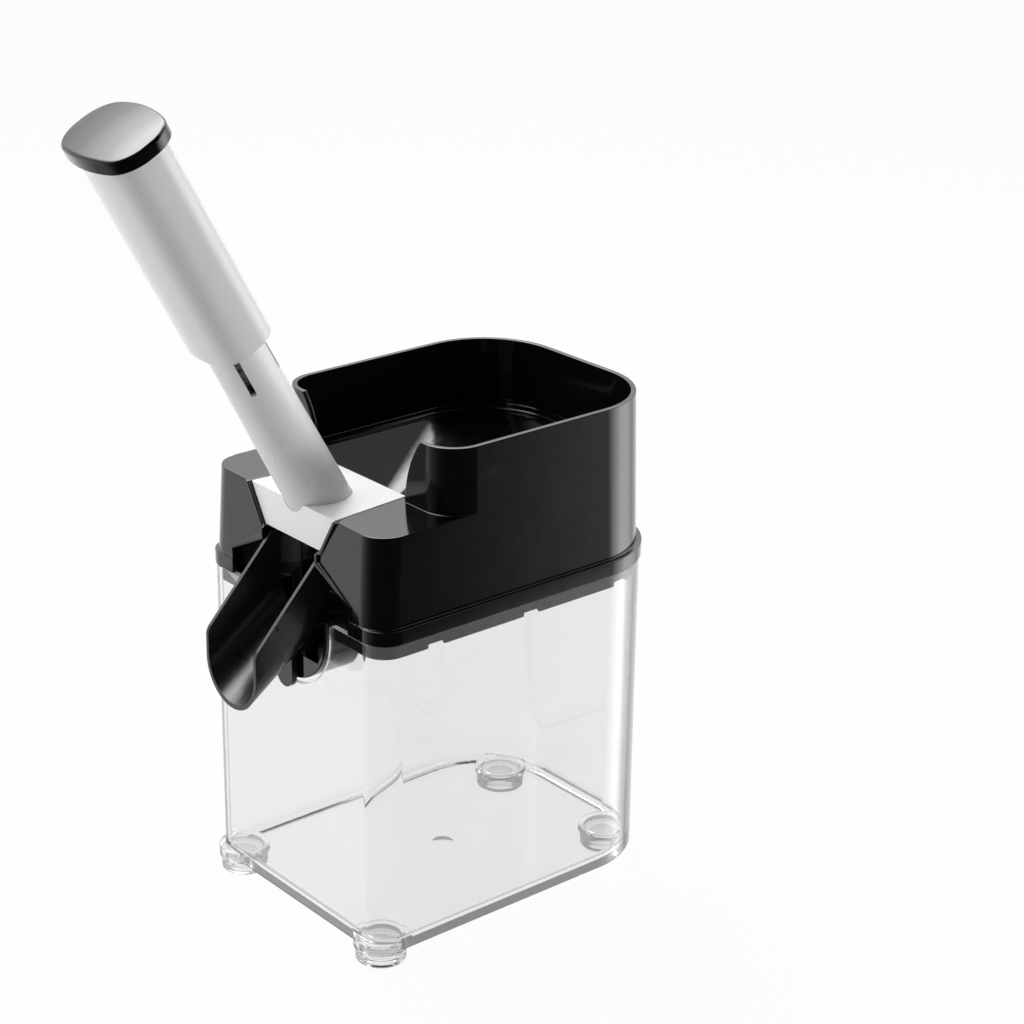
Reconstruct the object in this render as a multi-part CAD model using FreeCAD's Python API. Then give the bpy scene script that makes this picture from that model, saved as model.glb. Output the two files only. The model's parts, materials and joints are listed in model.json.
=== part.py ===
import FreeCAD, Part
import math
import os

# Hand cherry pitter: a clear stone container with four soft feet, a black housing with a
# cherry hopper that sits in its mouth, a pull-off delivery chute, and a white pitting head
# that carries a sprung push handle on a leaning guide tube.
# Millimetres, +Z up, the chute faces -Y, X = 0 is the plane of symmetry. The origin is at
# the bottom centre of the bounding box, so the floor is Z = 0.

V = FreeCAD.Vector

# Body, from the ledge inwards
ledge_half_width = 52.5
body_depth = 138.8
front_corner_radius = 10.0
back_corner_radius = 33.4
ledge_height = 5.5
ledge_step = 2.1
side_draft = 0.020
front_draft = 0.055
housing_wall = 2.0

# Heights above the floor
container_floor_z = 5.4
ledge_z = 125.5
tier_z = 164.0
rim_z = 188.4

# Container
container_inset = 0.5
container_wall = 2.0
container_floor_thickness = 2.2
container_floor_radius = 5.0
container_edge_radius = 1.8
gate_mark_radius = 5.2
gate_mark_depth = 0.8
notch_radius = 23.4
notch_centre_z = 119.6
notch_lip_radius = 2.0

# Feet and the sockets that hold them
foot_radius = 9.2
foot_groove_depth = 0.6
foot_groove_count = 2
foot_plug_radius = 7.6
foot_plug_height = 2.2
foot_bore_radius = 5.0
foot_cap_thickness = 1.6
socket_radius = 10.0
socket_height = 4.4
socket_wall = 1.0
front_foot_side_inset = 9.7
front_foot_front_inset = 7.2
rear_foot_reach = 23.2
rear_foot_angle = 57.0
foot_clearance = 0.15

# Skirt that drops into the container's mouth
skirt_height = 5.7
skirt_wall = 1.6
skirt_clearance = 0.35
skirt_notch_width = 7.0
skirt_notch_depth = 1.6
skirt_notch_pitch = 43.0

# Hopper
hopper_setback = 32.0
hopper_front_radius = 13.0
hopper_floor_z = 162.6
throat_z = 140.4
throat_half_width = 15.0
throat_back = 47.5
throat_front_radius = 1.0
throat_back_radius = 3.0
funnel_drop = 2.4
ramp_setback = 7.4
ear_gap_bottom = 25.4
ear_gap_top = 33.9

# Opening in the front face, and the bay behind it
neck_half_width = 15.3
neck_bottom_z = 145.0
neck_top_z = 149.4
bay_half_width = 34.5
bay_shoulder_z = 135.3
bay_depth = 19.0
bay_wall = 1.8
tongue_radius = 21.6
tongue_floor_z = 108.4
lining_setback = 0.2
well_lip_drop = 7.0

# Pitting head in its V-shaped seat
head_top_half_front = 24.6
head_top_half_back = 21.4
head_bottom_half = 16.5
head_bottom_z = 150.0
head_setback = 2.6
head_length = 33.2
head_wall = 1.8
head_clearance = 0.25

# Leaning axis of the handle. Heights along it are counted from the tier's top face.
axis_tilt = 28.8
axis_setback = 13.2
handle_stroke = 42.0

# Guide tube
tube_radius_low = 11.1
tube_taper = 0.0145
tube_bore_radius = 8.4
tube_bottom = -8.0
tube_floor_thickness = 4.0
tube_seat_wall = 1.9
tube_fit = 0.08
slot_width = 2.1
slot_bottom = 54.3
slot_count = 4
slot_angle = 55.6

# Handle
sleeve_length = 81.4
sleeve_width = 31.6
sleeve_depth = 24.0
sleeve_side_radius = 50.0
sleeve_end_radius = 63.0
sleeve_corner_radius = 9.2
sleeve_wall = 1.0
bridge_margin = 1.8
bridge_thickness = 2.0
cap_width = 41.9
cap_depth = 27.8
cap_side_radius = 53.0
cap_end_radius = 120.0
cap_corner_radius = 11.5
cap_height = 6.6
cap_ball_radius = 110.0
cap_edge_radius = 1.4
cap_screw_gap = 1.0
cap_fit = 0.1
cap_plug_gap = 0.3
cap_plug_wall = 1.2

# Plunger inside the tube
core_radius = 4.2
core_bottom = 55.0
hub_radius = 7.7
hub_height = 5.0
wing_thickness = 1.5
wing_reach = 11.8
hub_margin = 0.3
stop_gap = 0.1
stop_ring_skirt = 2.0
stop_ring_top = 1.1
stop_ring_lip = 2.4
stop_ring_wall = 0.9
stop_ring_bore_radius = 5.6
pin_radius = 2.0
pin_tip = -7.0
pin_grip = 12.0
pin_fit = 0.02
star_radius = 2.9
star_blade = 1.3
star_length = 9.0
dowel_radius = 1.0
dowel_setback = 6.0
dowel_end_margin = 0.2
screw_shank_radius = 1.7
screw_length = 12.0
screw_head_radius = 3.6
screw_head_height = 1.5
screw_recess_width = 0.9
screw_recess_depth = 0.9
screw_hole_clearance = 0.2

# Stripper bush, washers and spring
stripper_bore_radius = 3.1
stripper_neck_radius = 4.5
stripper_flange_radius = 7.4
stripper_flange_height = 1.5
washer_thickness = 0.8
washer_bore_radius = 4.6
washer_clearance = 0.3
spring_wire = 1.2
spring_mean_radius = 6.7
spring_turns = 18
spring_end_gap = 0.05
spring_end_pitch = 1.75

# Cherry seat in the ramp below the head
seat_depth = 37.0
ramp_thickness = 2.0
seat_radius = 11.2
seat_bore_radius = 4.0
seat_rim_height = 2.0
seat_wall = 1.4
seat_bowl_depth = 3.4
seat_clearance = 0.15
seat_shelf_radius = 9.4
seat_boss_radius = 13.6
seat_boss_height = 6.4
ring_height = 1.0
ring_bore_radius = 9.6
guide_length = 11.0
guide_wall = 1.4

# Chute
chute_half_width = 15.1
chute_wall = 1.4
chute_tip_reach = 25.0
chute_tip_bottom_z = 92.6
chute_tip_top_z = 117.5
chute_floor_angle = 35.5
chute_edge_angle = 47.0
chute_tip_radius = 6.0
chute_inner_gap = 0.6
chute_clip_half_width = 4.6
chute_clip_thickness = 2.2
chute_clip_bottom_z = 94.4
chute_clearance = 0.4
chute_rib_thickness = 1.6
chute_rib_half_gap = 7.0
chute_rib_setback = 2.4
chute_rib_lift = 0.1
chute_top_margin = 2.0

# How far a cutting shape runs past the face it opens, and how far joined shapes sink in
past = 1.0
far = 60.0
sink = 0.5

sin_tilt = math.sin(math.radians(axis_tilt))
cos_tilt = math.cos(math.radians(axis_tilt))

# Along the handle's axis
hub_bottom = slot_bottom + handle_stroke + hub_margin
hub_top = hub_bottom + hub_height
tube_top = hub_top + stop_gap + stop_ring_lip
bridge_bottom = tube_top + stop_ring_top + handle_stroke + bridge_margin
cap_seat = bridge_bottom + bridge_thickness + screw_head_height + cap_screw_gap
sleeve_bottom = cap_seat - sleeve_length

# The leaning cap is the frontmost thing, and the ledge is the rearmost.
cap_rim = cap_height - (cap_depth / 2) ** 2 / (2 * cap_ball_radius)
cap_front = (
    (cap_seat + cap_rim - cap_edge_radius) * sin_tilt
    + (cap_depth / 2 - cap_edge_radius) * cos_tilt
    + cap_edge_radius
)
front_y = (cap_front - axis_setback - body_depth) / 2
back_y = front_y + body_depth
axis_foot = V(0, front_y + axis_setback, tier_z)
axis_up = V(0, -sin_tilt, cos_tilt)

ledge_top_z = ledge_z + ledge_height
shell_half_width = ledge_half_width - ledge_step
shell_back_y = back_y - ledge_step
hopper_front_y = front_y + hopper_setback
head_front_y = front_y + head_setback
head_back_y = head_front_y + head_length
container_half_width = ledge_half_width - container_inset
container_front_y = front_y + container_inset / 2
container_back_y = back_y - container_inset


def plan_wire(half_width, y0, y1, r_front, r_back, z):
    """Closed outline seen from above, with its own radius at the front and back corners."""
    edges = []
    corners = [(1, y0, r_front, -1), (1, y1, r_back, 1), (-1, y1, r_back, 1), (-1, y0, r_front, -1)]
    arcs = []
    for sx, y, r, sy in corners:
        centre = V(sx * (half_width - r), y - sy * r, z)
        middle = centre + V(sx, sy, 0) * (r * math.sqrt(0.5))
        along_x = centre + V(0, sy * r, 0)
        along_y = centre + V(sx * r, 0, 0)
        first, last = (along_x, along_y) if sx * sy < 0 else (along_y, along_x)
        arcs.append((first, middle, last))
    for i, (first, middle, last) in enumerate(arcs):
        edges.append(Part.Arc(first, middle, last).toShape())
        after = arcs[(i + 1) % len(arcs)][0]
        if last.distanceToPoint(after) > 1e-6:
            edges.append(Part.makeLine(last, after))
    return Part.Wire(edges)


def plan_block(half_width, y0, y1, r_front, r_back, z0, z1):
    face = Part.Face(plan_wire(half_width, y0, y1, r_front, r_back, z0))
    return face.extrude(V(0, 0, z1 - z0))


def loft(*wires):
    return Part.makeLoft(list(wires), True, True)


def polygon(points):
    return Part.Face(Part.makePolygon(list(points) + [points[0]]))


def front_block(outline, y0, y1):
    """Block from an outline of (x, z) points, running from y0 to y1."""
    return polygon([V(x, y0, z) for x, z in outline]).extrude(V(0, y1 - y0, 0))


def side_block(outline, half_width):
    """Block from an outline of (y, z) points, as wide as twice half_width."""
    return polygon([V(-half_width, y, z) for y, z in outline]).extrude(V(2 * half_width, 0, 0))


def mirrored(points):
    """An outline symmetric about x = 0, from its right-hand points taken upwards."""
    return list(points) + [(-x, z) for x, z in reversed(points)]


def cylinder(radius, s0, s1):
    return Part.makeCylinder(radius, s1 - s0, V(0, 0, s0))


def ring(outer, inner, s0, s1):
    return cylinder(outer, s0, s1).cut(cylinder(inner, s0 - past, s1 + past))


def on_axis(shape):
    """Moves a shape made upright about local Z onto the handle's leaning axis."""
    leaning = FreeCAD.Placement(axis_foot, FreeCAD.Rotation(V(1, 0, 0), axis_tilt))
    moved = shape.copy()
    moved.transformShape(leaning.toMatrix())
    return moved


def fuse(shapes):
    joined = shapes[0].multiFuse(shapes[1:])
    return joined.removeSplitter()


def edges_at(shape, z, tolerance=0.01):
    """Edges that lie wholly at one height."""
    found = []
    for edge in shape.Edges:
        box = edge.BoundBox
        if abs(box.ZMin - z) < tolerance and abs(box.ZMax - z) < tolerance:
            found.append(edge)
    return found


def oblong_wire(outline, inset, s):
    """Rounded oblong at height s: two long arcs, two end arcs and four corner arcs, all tangent."""
    width, depth, side_radius, end_radius, corner_radius = outline
    side = V(0, depth / 2 - side_radius, s)
    end = V(width / 2 - end_radius, 0, s)
    # The corner arc's centre is where circles about the other two centres cross.
    across = end - side
    to_side = side_radius - corner_radius
    to_end = end_radius - corner_radius
    along = (across.Length ** 2 + to_side ** 2 - to_end ** 2) / (2 * across.Length)
    off = math.sqrt(to_side ** 2 - along ** 2)
    unit = V(across).normalize()
    corner = side + unit * along + V(unit.y, -unit.x, 0) * off
    reach = corner_radius - inset
    on_end = corner + V(corner - end).normalize() * reach
    on_side = corner + V(corner - side).normalize() * reach
    crown = corner + (V(corner - end).normalize() + V(corner - side).normalize()).normalize() * reach
    tip = V(width / 2 - inset, 0, s)
    top = V(0, depth / 2 - inset, s)

    def turned(point, sx, sy):
        return V(sx * point.x, sy * point.y, s)

    half = [
        (turned(on_end, 1, -1), tip, on_end),
        (on_end, crown, on_side),
        (on_side, top, turned(on_side, -1, 1)),
        (turned(on_side, -1, 1), turned(crown, -1, 1), turned(on_end, -1, 1)),
    ]
    other_half = [tuple(turned(point, -1, -1) for point in arc) for arc in half]
    return Part.Wire([Part.Arc(*arc).toShape() for arc in half + other_half])


def oblong_block(outline, inset, s0, s1):
    return Part.Face(oblong_wire(outline, inset, s0)).extrude(V(0, 0, s1 - s0))


def half_width_at(z):
    return shell_half_width - side_draft * (z - ledge_top_z)


def front_at(z):
    return front_y + front_draft * (z - ledge_z)


def back_at(z):
    return shell_back_y - side_draft * (z - ledge_top_z)


def ramp_top_z(y):
    """Height of the ramp's upper face, square to the handle's axis."""
    foot = axis_foot - axis_up * seat_depth
    return foot.z + (y - foot.y) * sin_tilt / cos_tilt


def ramp_bottom_z(y):
    return ramp_top_z(y) - ramp_thickness / cos_tilt


# Container and feet

def foot_centres():
    """The four feet: two standing a little out of the front corners, two in the round ones."""
    angle = math.radians(rear_foot_angle)
    front = (container_half_width - front_foot_side_inset, container_front_y + front_foot_front_inset)
    rear = (container_half_width - back_corner_radius + rear_foot_reach * math.cos(angle),
            container_back_y - back_corner_radius + rear_foot_reach * math.sin(angle))
    return [(sx * x, y) for x, y in (front, rear) for sx in (-1, 1)]


def make_container():
    outer = plan_block(container_half_width, container_front_y, container_back_y,
                       front_corner_radius, back_corner_radius, container_floor_z, ledge_z)
    outer = outer.makeFillet(container_edge_radius, edges_at(outer, container_floor_z))
    floor_z = container_floor_z + container_floor_thickness
    inner = plan_block(container_half_width - container_wall, container_front_y + container_wall,
                       container_back_y - container_wall, front_corner_radius - container_wall,
                       back_corner_radius - container_wall, floor_z, ledge_z + past)
    inner = inner.makeFillet(container_floor_radius, edges_at(inner, floor_z))
    body = outer.cut(inner)
    sockets = []
    hollows = []
    for x, y in foot_centres():
        top = container_floor_z + socket_height
        sockets.append(Part.makeCylinder(socket_radius, socket_height, V(x, y, container_floor_z)))
        hollows.append(Part.makeCylinder(foot_plug_radius + foot_clearance,
                                         top - socket_wall - container_floor_z + past,
                                         V(x, y, container_floor_z - past)))
    ball = (gate_mark_radius ** 2 + gate_mark_depth ** 2) / (2 * gate_mark_depth)
    hollows.append(Part.makeSphere(ball, V(0, (container_front_y + container_back_y) / 2,
                                           container_floor_z + gate_mark_depth - ball)))
    body = fuse([body] + sockets)
    notch_y = container_front_y - past
    notch = Part.makeCylinder(notch_radius, container_wall + 2 * past,
                              V(0, notch_y, notch_centre_z), V(0, 1, 0))
    mouth = Part.makeBox(2 * notch_radius, container_wall + 2 * past, ledge_z + past - notch_centre_z,
                         V(-notch_radius, notch_y, notch_centre_z))
    body = body.cut(fuse([notch, mouth]))
    lips = []
    for edge in body.Edges:
        box = edge.BoundBox
        across = box.YMax < container_front_y + container_wall + 0.01 and box.ZMin > ledge_z - 0.01
        if across and box.XMax - box.XMin < 0.01 and abs(abs(box.XMin) - notch_radius) < 0.01:
            lips.append(edge)
    body = body.makeFillet(notch_lip_radius, lips)
    return body.cut(Part.makeCompound(hollows))


def make_foot(x, y):
    """Soft hollow foot: a ridged pad under the container and a plug in its socket."""
    pad_height = container_floor_z
    pad = Part.makeCylinder(foot_radius, pad_height)
    plug = Part.makeCylinder(foot_plug_radius, foot_plug_height, V(0, 0, pad_height))
    foot = fuse([pad, plug])
    pitch = pad_height / (foot_groove_count + 1)
    for i in range(foot_groove_count):
        middle = pitch * (i + 1)
        groove = Part.makeTorus(foot_radius, foot_groove_depth, V(0, 0, middle))
        foot = foot.cut(groove)
    bore = Part.makeCylinder(foot_bore_radius, pad_height, V(0, 0, -foot_cap_thickness))
    foot = foot.cut(bore)
    foot.translate(V(x, y, 0))
    return foot


# Housing

def shell_wire(z, inset, front, front_radius):
    return plan_wire(half_width_at(z) - inset, front + inset, back_at(z) - inset,
                     front_radius - inset, back_corner_radius - ledge_step - inset, z)


def tier_solid(z0, z1, inset):
    radius = front_corner_radius
    return loft(shell_wire(z0, inset, front_at(z0), radius),
                shell_wire(z1, inset, front_at(z1), radius))


def hopper_solid(z0, z1, inset):
    return loft(shell_wire(z0, inset, hopper_front_y, hopper_front_radius),
                shell_wire(z1, inset, hopper_front_y, hopper_front_radius))


def funnel(drop):
    """Hopper floor: four slopes from the walls down to the throat, lowered by drop."""
    top_z = hopper_floor_z
    inset = housing_wall - sink
    top = plan_wire(half_width_at(top_z) - inset, hopper_front_y + inset, back_at(top_z) - inset,
                    hopper_front_radius - housing_wall, back_corner_radius - ledge_step - housing_wall,
                    top_z - drop)
    low = plan_wire(throat_half_width, hopper_front_y - past, front_y + throat_back,
                    throat_front_radius, throat_back_radius, throat_z - drop)
    return loft(top, low)


def bay_outline(grow):
    """Front view of the hourglass opening and the U-shaped tongue under it."""
    return mirrored([
        (bay_half_width + grow, ledge_z - grow),
        (bay_half_width + grow, bay_shoulder_z + grow / 2),
        (neck_half_width + grow, neck_bottom_z + grow),
        (neck_half_width + grow, neck_top_z),
    ])


def bay_plan(grow):
    """Half-oval column that gives the bay its concave back."""
    oval = Part.makeCylinder(1.0, tier_z, V(0, 0, 0))
    stretch = FreeCAD.Matrix()
    stretch.scale(bay_half_width + grow, bay_depth + grow, 1)
    oval = oval.transformGeometry(stretch)
    oval.translate(V(0, front_y, 0))
    return oval


def tongue_disc(radius, y0, y1, top_z):
    disc = Part.makeCylinder(radius, y1 - y0, V(0, y0, notch_centre_z), V(0, 1, 0))
    post = Part.makeBox(2 * radius, y1 - y0, top_z - notch_centre_z, V(-radius, y0, notch_centre_z))
    return fuse([disc, post])


def head_section(y, top_half, grow, low_z, high_z):
    """Trapezoid of the head seen from the front, carried on above and below as needed."""
    slope = (top_half - head_bottom_half) / (tier_z - head_bottom_z)
    bottom = head_bottom_half + grow
    top = top_half + grow
    points = [(bottom, head_bottom_z), (top, tier_z)]
    if low_z < head_bottom_z:
        points = [(neck_half_width + grow - head_clearance, low_z),
                  (neck_half_width + grow - head_clearance, head_bottom_z - past)] + points
    if high_z > tier_z:
        points.append((top + slope * (high_z - tier_z), high_z))
    return Part.makePolygon([V(x, y, z) for x, z in mirrored(points)] + [V(points[0][0], y, points[0][1])])


def head_top_half_at(y):
    """Half-width of the head's top face, which narrows evenly towards the back."""
    along = (y - head_front_y) / head_length
    return head_top_half_front + (head_top_half_back - head_top_half_front) * along


def well_column(grow, y0, y1, low_z, high_z):
    """Tapered V column that the head and the cherry chamber share."""
    return loft(head_section(y0, head_top_half_at(y0), grow, low_z, high_z),
                head_section(y1, head_top_half_at(y1), grow, low_z, high_z))


def ear_gap(y0, y1):
    """Gap between the hopper's two front ears, whose edges rise straight and then curve apart."""
    spread = ear_gap_top - ear_gap_bottom
    rise = rim_z - tier_z
    radius = (rise ** 2 + spread ** 2) / (2 * spread)
    half_turn = math.asin(rise / radius) / 2
    middle = V(ear_gap_bottom + radius * (1 - math.cos(half_turn)), y0, tier_z + radius * math.sin(half_turn))
    right = [V(ear_gap_bottom, y0, tier_z), middle, V(ear_gap_top, y0, rim_z)]
    left = [V(-p.x, p.y, p.z) for p in reversed(right)]
    over = V(0, 0, housing_wall)
    lines = Part.makePolygon([right[2], right[2] + over, left[0] + over, left[0]])
    sill = Part.makeLine(left[2], right[0])
    wire = Part.Wire([Part.Arc(*right).toShape()] + lines.Edges + [Part.Arc(*left).toShape(), sill])
    return Part.Face(wire).extrude(V(0, y1 - y0, 0))


def make_housing():
    shell = fuse([
        tier_solid(ledge_z, tier_z, 0),
        hopper_solid(tier_z - housing_wall, rim_z, 0),
        plan_block(ledge_half_width, front_y, back_y, front_corner_radius, back_corner_radius,
                   ledge_z, ledge_top_z),
    ])
    shell = shell.cut(tier_solid(ledge_z - past, tier_z - housing_wall, housing_wall))
    bowl = hopper_solid(tier_z - housing_wall - sink, rim_z + past, housing_wall)
    shell = shell.cut(bowl)

    skirt_inset = container_wall + skirt_clearance
    skirt_half = container_half_width - skirt_inset
    skirt_front = container_front_y + skirt_inset
    skirt_back = container_back_y - skirt_inset
    skirt = plan_block(skirt_half, skirt_front, skirt_back, front_corner_radius - skirt_inset,
                       back_corner_radius - skirt_inset, ledge_z - skirt_height, ledge_z + past)
    skirt = skirt.cut(plan_block(skirt_half - skirt_wall, skirt_front + skirt_wall, skirt_back - skirt_wall,
                                 front_corner_radius - skirt_inset - skirt_wall,
                                 back_corner_radius - skirt_inset - skirt_wall,
                                 ledge_z - skirt_height - past, ledge_z + 2 * past))
    for side in (-1, 1):
        for i in (-1, 0, 1):
            middle = (skirt_front + skirt_back) / 2 + i * skirt_notch_pitch
            corner = V(side * skirt_half - far / 2, middle - skirt_notch_width / 2, ledge_z - skirt_height)
            skirt = skirt.cut(Part.makeBox(far, skirt_notch_width, skirt_notch_depth, corner))

    inner_front = front_y + housing_wall
    column_back = front_y + throat_back + housing_wall
    ramp_front = front_y + ramp_setback
    well_front = front_y + past
    side = side_block([(column_back, tier_z), (well_front, tier_z), (well_front, neck_bottom_z - past),
                       (ramp_front, neck_bottom_z - well_lip_drop), (ramp_front, ramp_bottom_z(ramp_front)),
                       (column_back, ramp_bottom_z(column_back))], ledge_half_width)
    well = well_column(head_clearance + bay_wall, front_y, column_back, ledge_z - far, tier_z).common(side)

    lining_front = front_y + lining_setback
    bay = front_block(bay_outline(bay_wall), lining_front, front_y + bay_depth + bay_wall)
    bay = bay.common(bay_plan(bay_wall))
    keep = plan_block(skirt_half, skirt_front, back_y, front_corner_radius - skirt_inset,
                      back_corner_radius - skirt_inset, ledge_z - far, ledge_z)
    above = plan_block(ledge_half_width, front_y, back_y, front_corner_radius, back_corner_radius,
                       ledge_z, tier_z)
    bay = bay.common(fuse([keep, above]))
    tongue = tongue_disc(tongue_radius, lining_front, front_y + bay_depth + bay_wall, ledge_z)
    tongue = tongue.common(bay_plan(bay_wall))

    boss = on_axis(cylinder(seat_boss_radius, -seat_depth - seat_boss_height, -seat_depth))
    boss = boss.common(side_block([(inner_front, 0), (column_back, 0), (column_back, tier_z),
                                   (inner_front, tier_z)], ledge_half_width))

    slopes = funnel(funnel_drop).common(tier_solid(ledge_z, tier_z, sink))
    body = fuse([shell, skirt, slopes, well, bay, tongue, boss])

    bay_void = front_block(bay_outline(0), front_y - past, front_y + bay_depth).common(bay_plan(0))
    tongue_void = tongue_disc(tongue_radius - bay_wall, front_y - past, front_y + bay_depth, ledge_z + past)
    tongue_void = tongue_void.common(bay_plan(0))
    below = Part.makeBox(4 * tongue_radius, 4 * tongue_radius, far,
                         V(-2 * tongue_radius, front_y - tongue_radius, tongue_floor_z - far))
    tongue_void = tongue_void.cut(below)
    chamber_back = column_back - housing_wall
    well_side = side_block([(chamber_back, rim_z), (front_y - past, rim_z), (front_y - past, tongue_floor_z),
                            (ramp_front, ramp_top_z(ramp_front)), (chamber_back, ramp_top_z(chamber_back))],
                           ledge_half_width)
    chamber = front_block(mirrored([(neck_half_width, ledge_z - far), (neck_half_width, head_bottom_z)]),
                          front_y - past, chamber_back).common(well_side)
    seat_for_head = well_column(head_clearance, front_y - past, head_back_y + head_clearance,
                                head_bottom_z, rim_z)
    ears = ear_gap(hopper_front_y - past, hopper_front_y + housing_wall + past)
    shelf = seat_rim_height + ring_height
    seat_hole = on_axis(fuse([
        cylinder(seat_radius + seat_clearance, -seat_depth - shelf, -seat_depth + past),
        cylinder(seat_shelf_radius, -seat_depth - seat_boss_height - past, -seat_depth),
    ]))
    bowl_top = hopper_solid(hopper_floor_z, rim_z + past, housing_wall)
    for void in (bowl_top, funnel(0), bay_void, tongue_void, chamber, seat_for_head, ears, seat_hole):
        body = body.cut(void)
    return body


def make_seat():
    """Soft cup that holds the cherry while the pin goes through it."""
    top = -seat_depth - ring_height
    low = top - seat_rim_height
    bowl_low = top - seat_bowl_depth
    profile = [
        V(seat_bore_radius, 0, bowl_low), V(seat_shelf_radius - seat_wall, 0, low + seat_wall / 2),
        V(ring_bore_radius, 0, top), V(seat_radius, 0, top), V(seat_radius, 0, low),
        V(seat_shelf_radius - seat_clearance, 0, low), V(seat_bore_radius, 0, bowl_low - seat_wall),
    ]
    return on_axis(polygon(profile).revolve(V(0, 0, 0), V(0, 0, 1), 360))


def make_seat_ring():
    return on_axis(ring(seat_radius, ring_bore_radius, -seat_depth - ring_height, -seat_depth))


def make_stone_guide():
    """Short tube under the seat that sends the stones straight down."""
    top = -seat_depth - seat_boss_height
    inner = seat_boss_radius - guide_wall - seat_clearance
    collar = ring(seat_boss_radius, seat_shelf_radius, top - guide_wall, top)
    pipe = ring(inner, seat_shelf_radius, top - guide_length, top - guide_wall)
    return on_axis(fuse([collar, pipe]))


# Chute

def make_chute():
    """U-shaped trough, deeper at the housing than at its tip, with a clip and two ribs."""
    inner_radius = chute_half_width - chute_wall
    inner_lift = chute_wall * 0.3
    tip_y = front_y - chute_tip_reach
    inner_y = front_y + ramp_setback - chute_inner_gap
    floor_slope = math.tan(math.radians(chute_floor_angle))
    edge_slope = math.tan(math.radians(chute_edge_angle))
    run = V(0, tip_y - inner_y, (tip_y - inner_y) * floor_slope)
    inner_z = chute_tip_bottom_z + (inner_y - tip_y) * floor_slope

    def channel(radius, lift, along):
        centre_z = inner_z + chute_half_width + lift
        start = V(0, inner_y, centre_z) - run * along
        arc = Part.Arc(V(-radius, inner_y, centre_z), V(0, inner_y, centre_z - radius),
                       V(radius, inner_y, centre_z)).toShape()
        walls = Part.makePolygon([V(radius, inner_y, centre_z), V(radius, inner_y, centre_z + far),
                                  V(-radius, inner_y, centre_z + far), V(-radius, inner_y, centre_z)])
        section = Part.Face(Part.Wire([arc] + walls.Edges))
        section.translate(start - V(0, inner_y, centre_z))
        return section.extrude(run * (1 + 2 * along))

    outside = channel(chute_half_width, 0, 0)
    inside = channel(inner_radius, inner_lift, 0.2)
    trough = outside.cut(inside)
    top_z = head_bottom_z - chute_clearance - chute_top_margin
    top_y = tip_y + (top_z - chute_tip_top_z) / edge_slope
    side = side_block([(tip_y, 0), (tip_y, chute_tip_top_z), (top_y, top_z), (inner_y, top_z), (inner_y, 0)],
                      ledge_half_width)
    corner = [edge for edge in edges_at(side, chute_tip_top_z) if edge.BoundBox.YMax < tip_y + 0.01]
    trough = trough.common(side.makeFillet(chute_tip_radius, corner))
    clip_back = front_y - chute_clearance + lining_setback
    clip_top = chute_tip_bottom_z + (clip_back - tip_y) * floor_slope + chute_wall
    clip_front = clip_back - chute_clip_thickness
    lobe_z = chute_clip_bottom_z + chute_clip_half_width
    lobe = Part.makeCylinder(chute_clip_half_width, chute_clip_thickness, V(0, clip_front, lobe_z),
                             V(0, 1, 0))
    leg = Part.makeBox(2 * chute_clip_half_width, chute_clip_thickness, clip_top - lobe_z,
                       V(-chute_clip_half_width, clip_front, lobe_z))
    clip = fuse([lobe, leg]).cut(inside)
    ribs = []
    rib_y = front_y + chute_rib_setback
    rib_z = tongue_floor_z + chute_rib_lift
    for sx in (-1, 1):
        x = sx * chute_rib_half_gap - chute_rib_thickness / 2
        rib = Part.makeBox(chute_rib_thickness, inner_y - rib_y, far, V(x, rib_y, rib_z))
        ribs.append(rib.cut(outside))
    return keep_largest(fuse([trough, clip] + ribs))


def keep_largest(shape):
    return max(shape.Solids, key=lambda solid: solid.Volume)


# Pitting head and guide tube

def make_head():
    """White head: a tapered V-shaped hood with the socket that holds the guide tube."""
    outer = well_column(0, head_front_y, head_back_y, head_bottom_z, tier_z)
    hollow_top = tier_z - head_wall
    slope = (head_top_half_back - head_bottom_half) / (tier_z - head_bottom_z)
    low_half = head_bottom_half - head_wall * math.hypot(1, slope)
    high_half = low_half + slope * (hollow_top - head_bottom_z)
    hollow = front_block(mirrored([(low_half, head_bottom_z - past), (low_half, head_bottom_z),
                                   (high_half, hollow_top)]), head_front_y + head_wall, head_back_y + past)
    hood = outer.cut(hollow)
    hole_radius = tube_radius_low + tube_fit
    socket = on_axis(cylinder(hole_radius + tube_seat_wall, tube_bottom - stripper_flange_height, far))
    room = side_block([(head_front_y + head_wall / 2, head_bottom_z + head_clearance),
                       (head_back_y, head_bottom_z + head_clearance),
                       (head_back_y, tier_z), (head_front_y + head_wall / 2, tier_z)], ledge_half_width)
    hood = fuse([hood, socket.common(room)])
    hood = hood.cut(on_axis(cylinder(hole_radius, tube_bottom, far)))
    below = tube_bottom - stripper_flange_height - far
    return hood.cut(on_axis(cylinder(stripper_flange_radius + tube_fit, below, tube_bottom + past)))


def tube_radius_at(s):
    return tube_radius_low - tube_taper * max(s, 0.0)


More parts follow.
